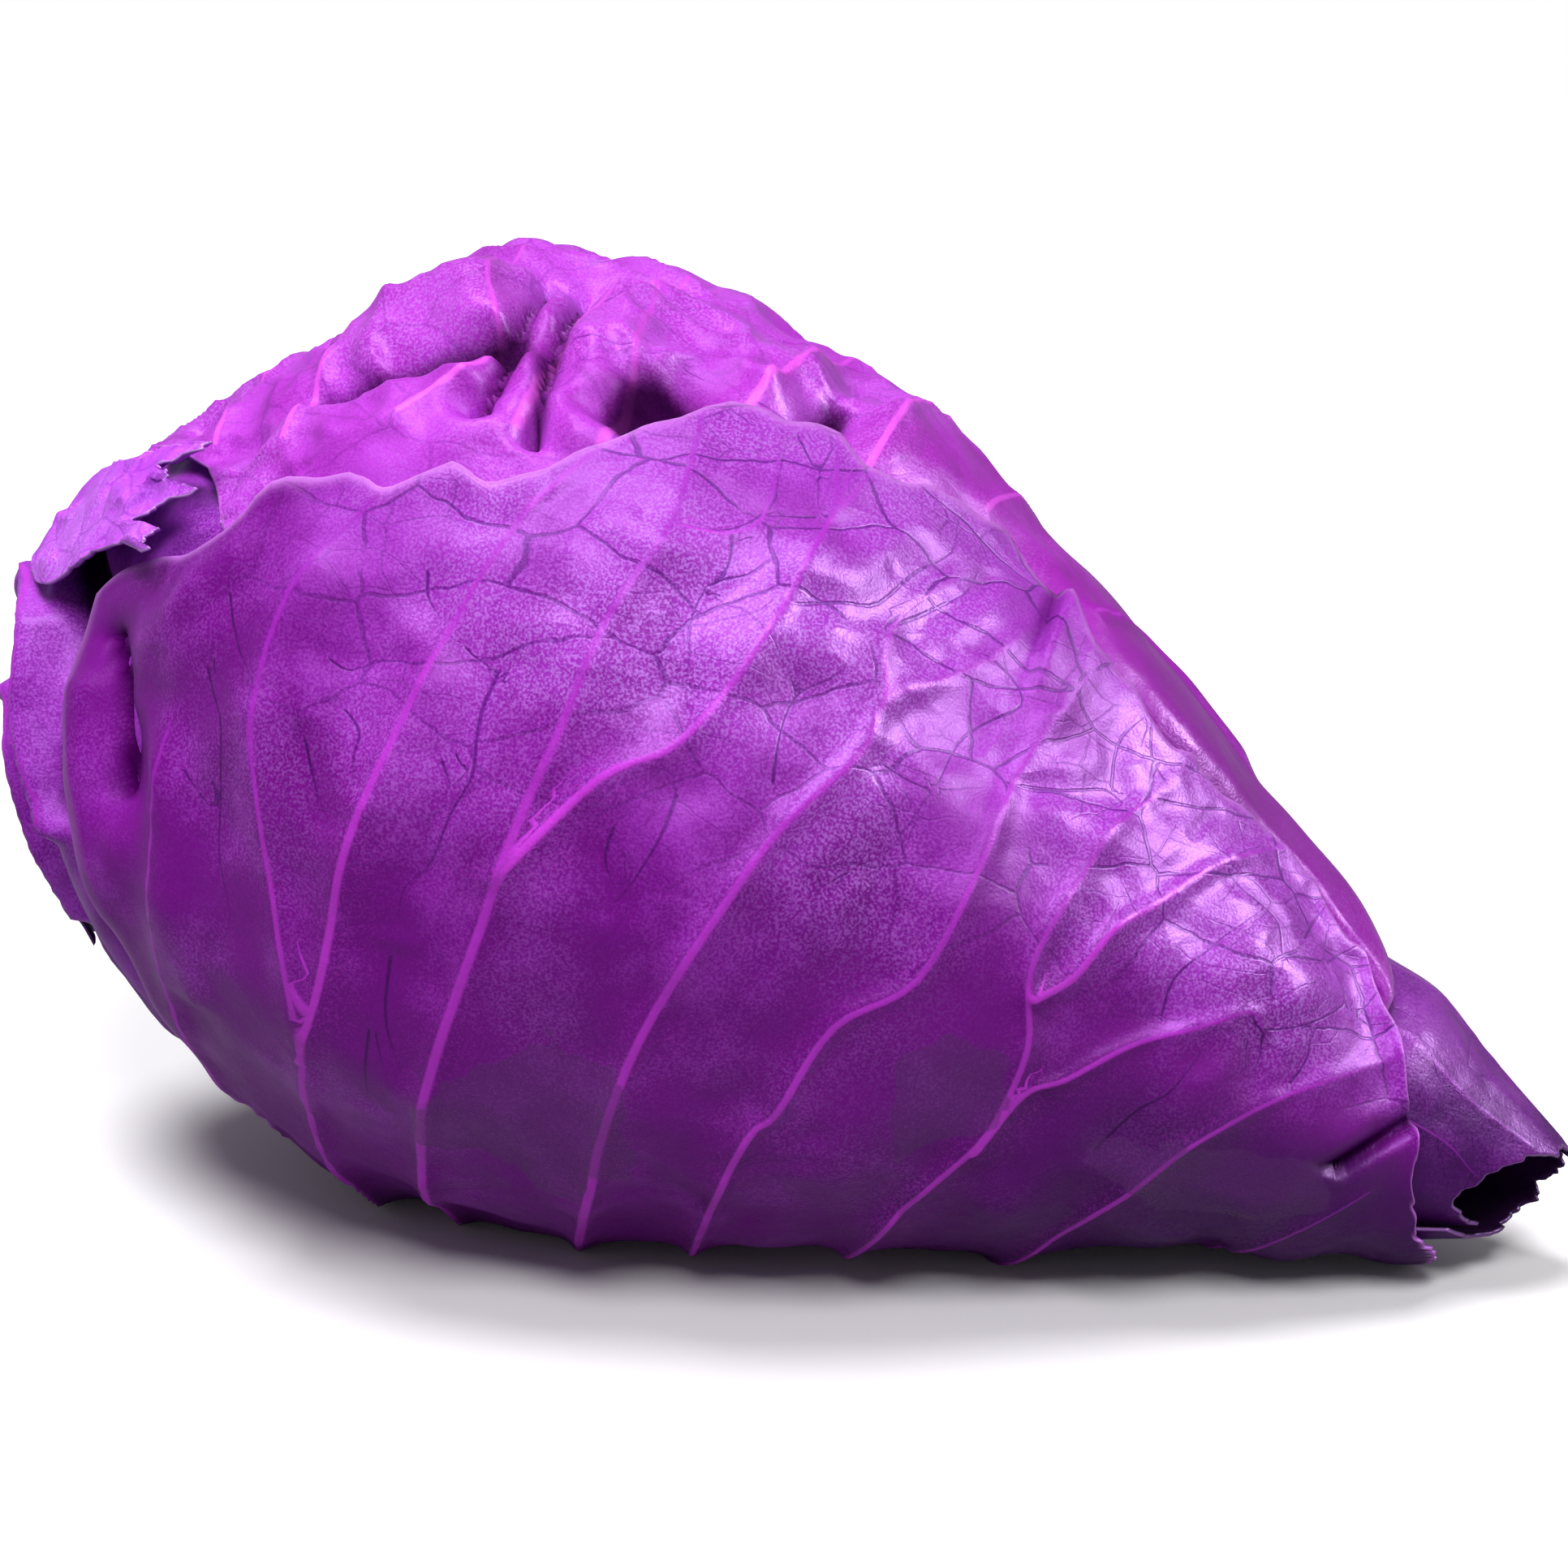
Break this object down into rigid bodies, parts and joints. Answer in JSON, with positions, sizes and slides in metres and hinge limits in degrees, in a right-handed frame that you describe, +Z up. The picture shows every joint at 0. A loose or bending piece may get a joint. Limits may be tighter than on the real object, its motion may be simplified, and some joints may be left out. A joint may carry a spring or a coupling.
{
  "type": "cabbage head",
  "caption": "Head of purple pointed cabbage lying on its side, with wrapped veined leaves, a crinkled top leaf, a rolled open tip and a cut stem.",
  "frame": {"origin": "middle of the footprint of the head's box, on the surface it rests on", "axes": "+X runs along the head from the cut stem end towards the pointed tip, +Z is up, and -Y faces the side with the large front leaf"},
  "size_m": [0.2289, 0.1465, 0.1421],
  "materials": {
    "leaf_purple": "waxy leaf skin, deep purple with a pale lavender bloom and pink raised ribs",
    "leaf_magenta": "waxy leaf skin, bright magenta purple, crinkled",
    "leaf_dark": "satin leaf skin, very dark purple",
    "leaf_torn": "dull torn leaf, pale lavender",
    "stem_cut": "matt cut stalk, cream with a purple skin"
  },
  "bodies": {
    "root": {"heart": "leaf_purple", "stem": "stem_cut", "leaf_front": "leaf_purple", "leaf_top": "leaf_magenta", "leaf_left": "leaf_purple", "leaf_back": "leaf_purple", "leaf_tip": "leaf_dark", "torn_leaf": "leaf_torn", "leaf_scrap": "leaf_dark"}
  },
  "joints": []
}
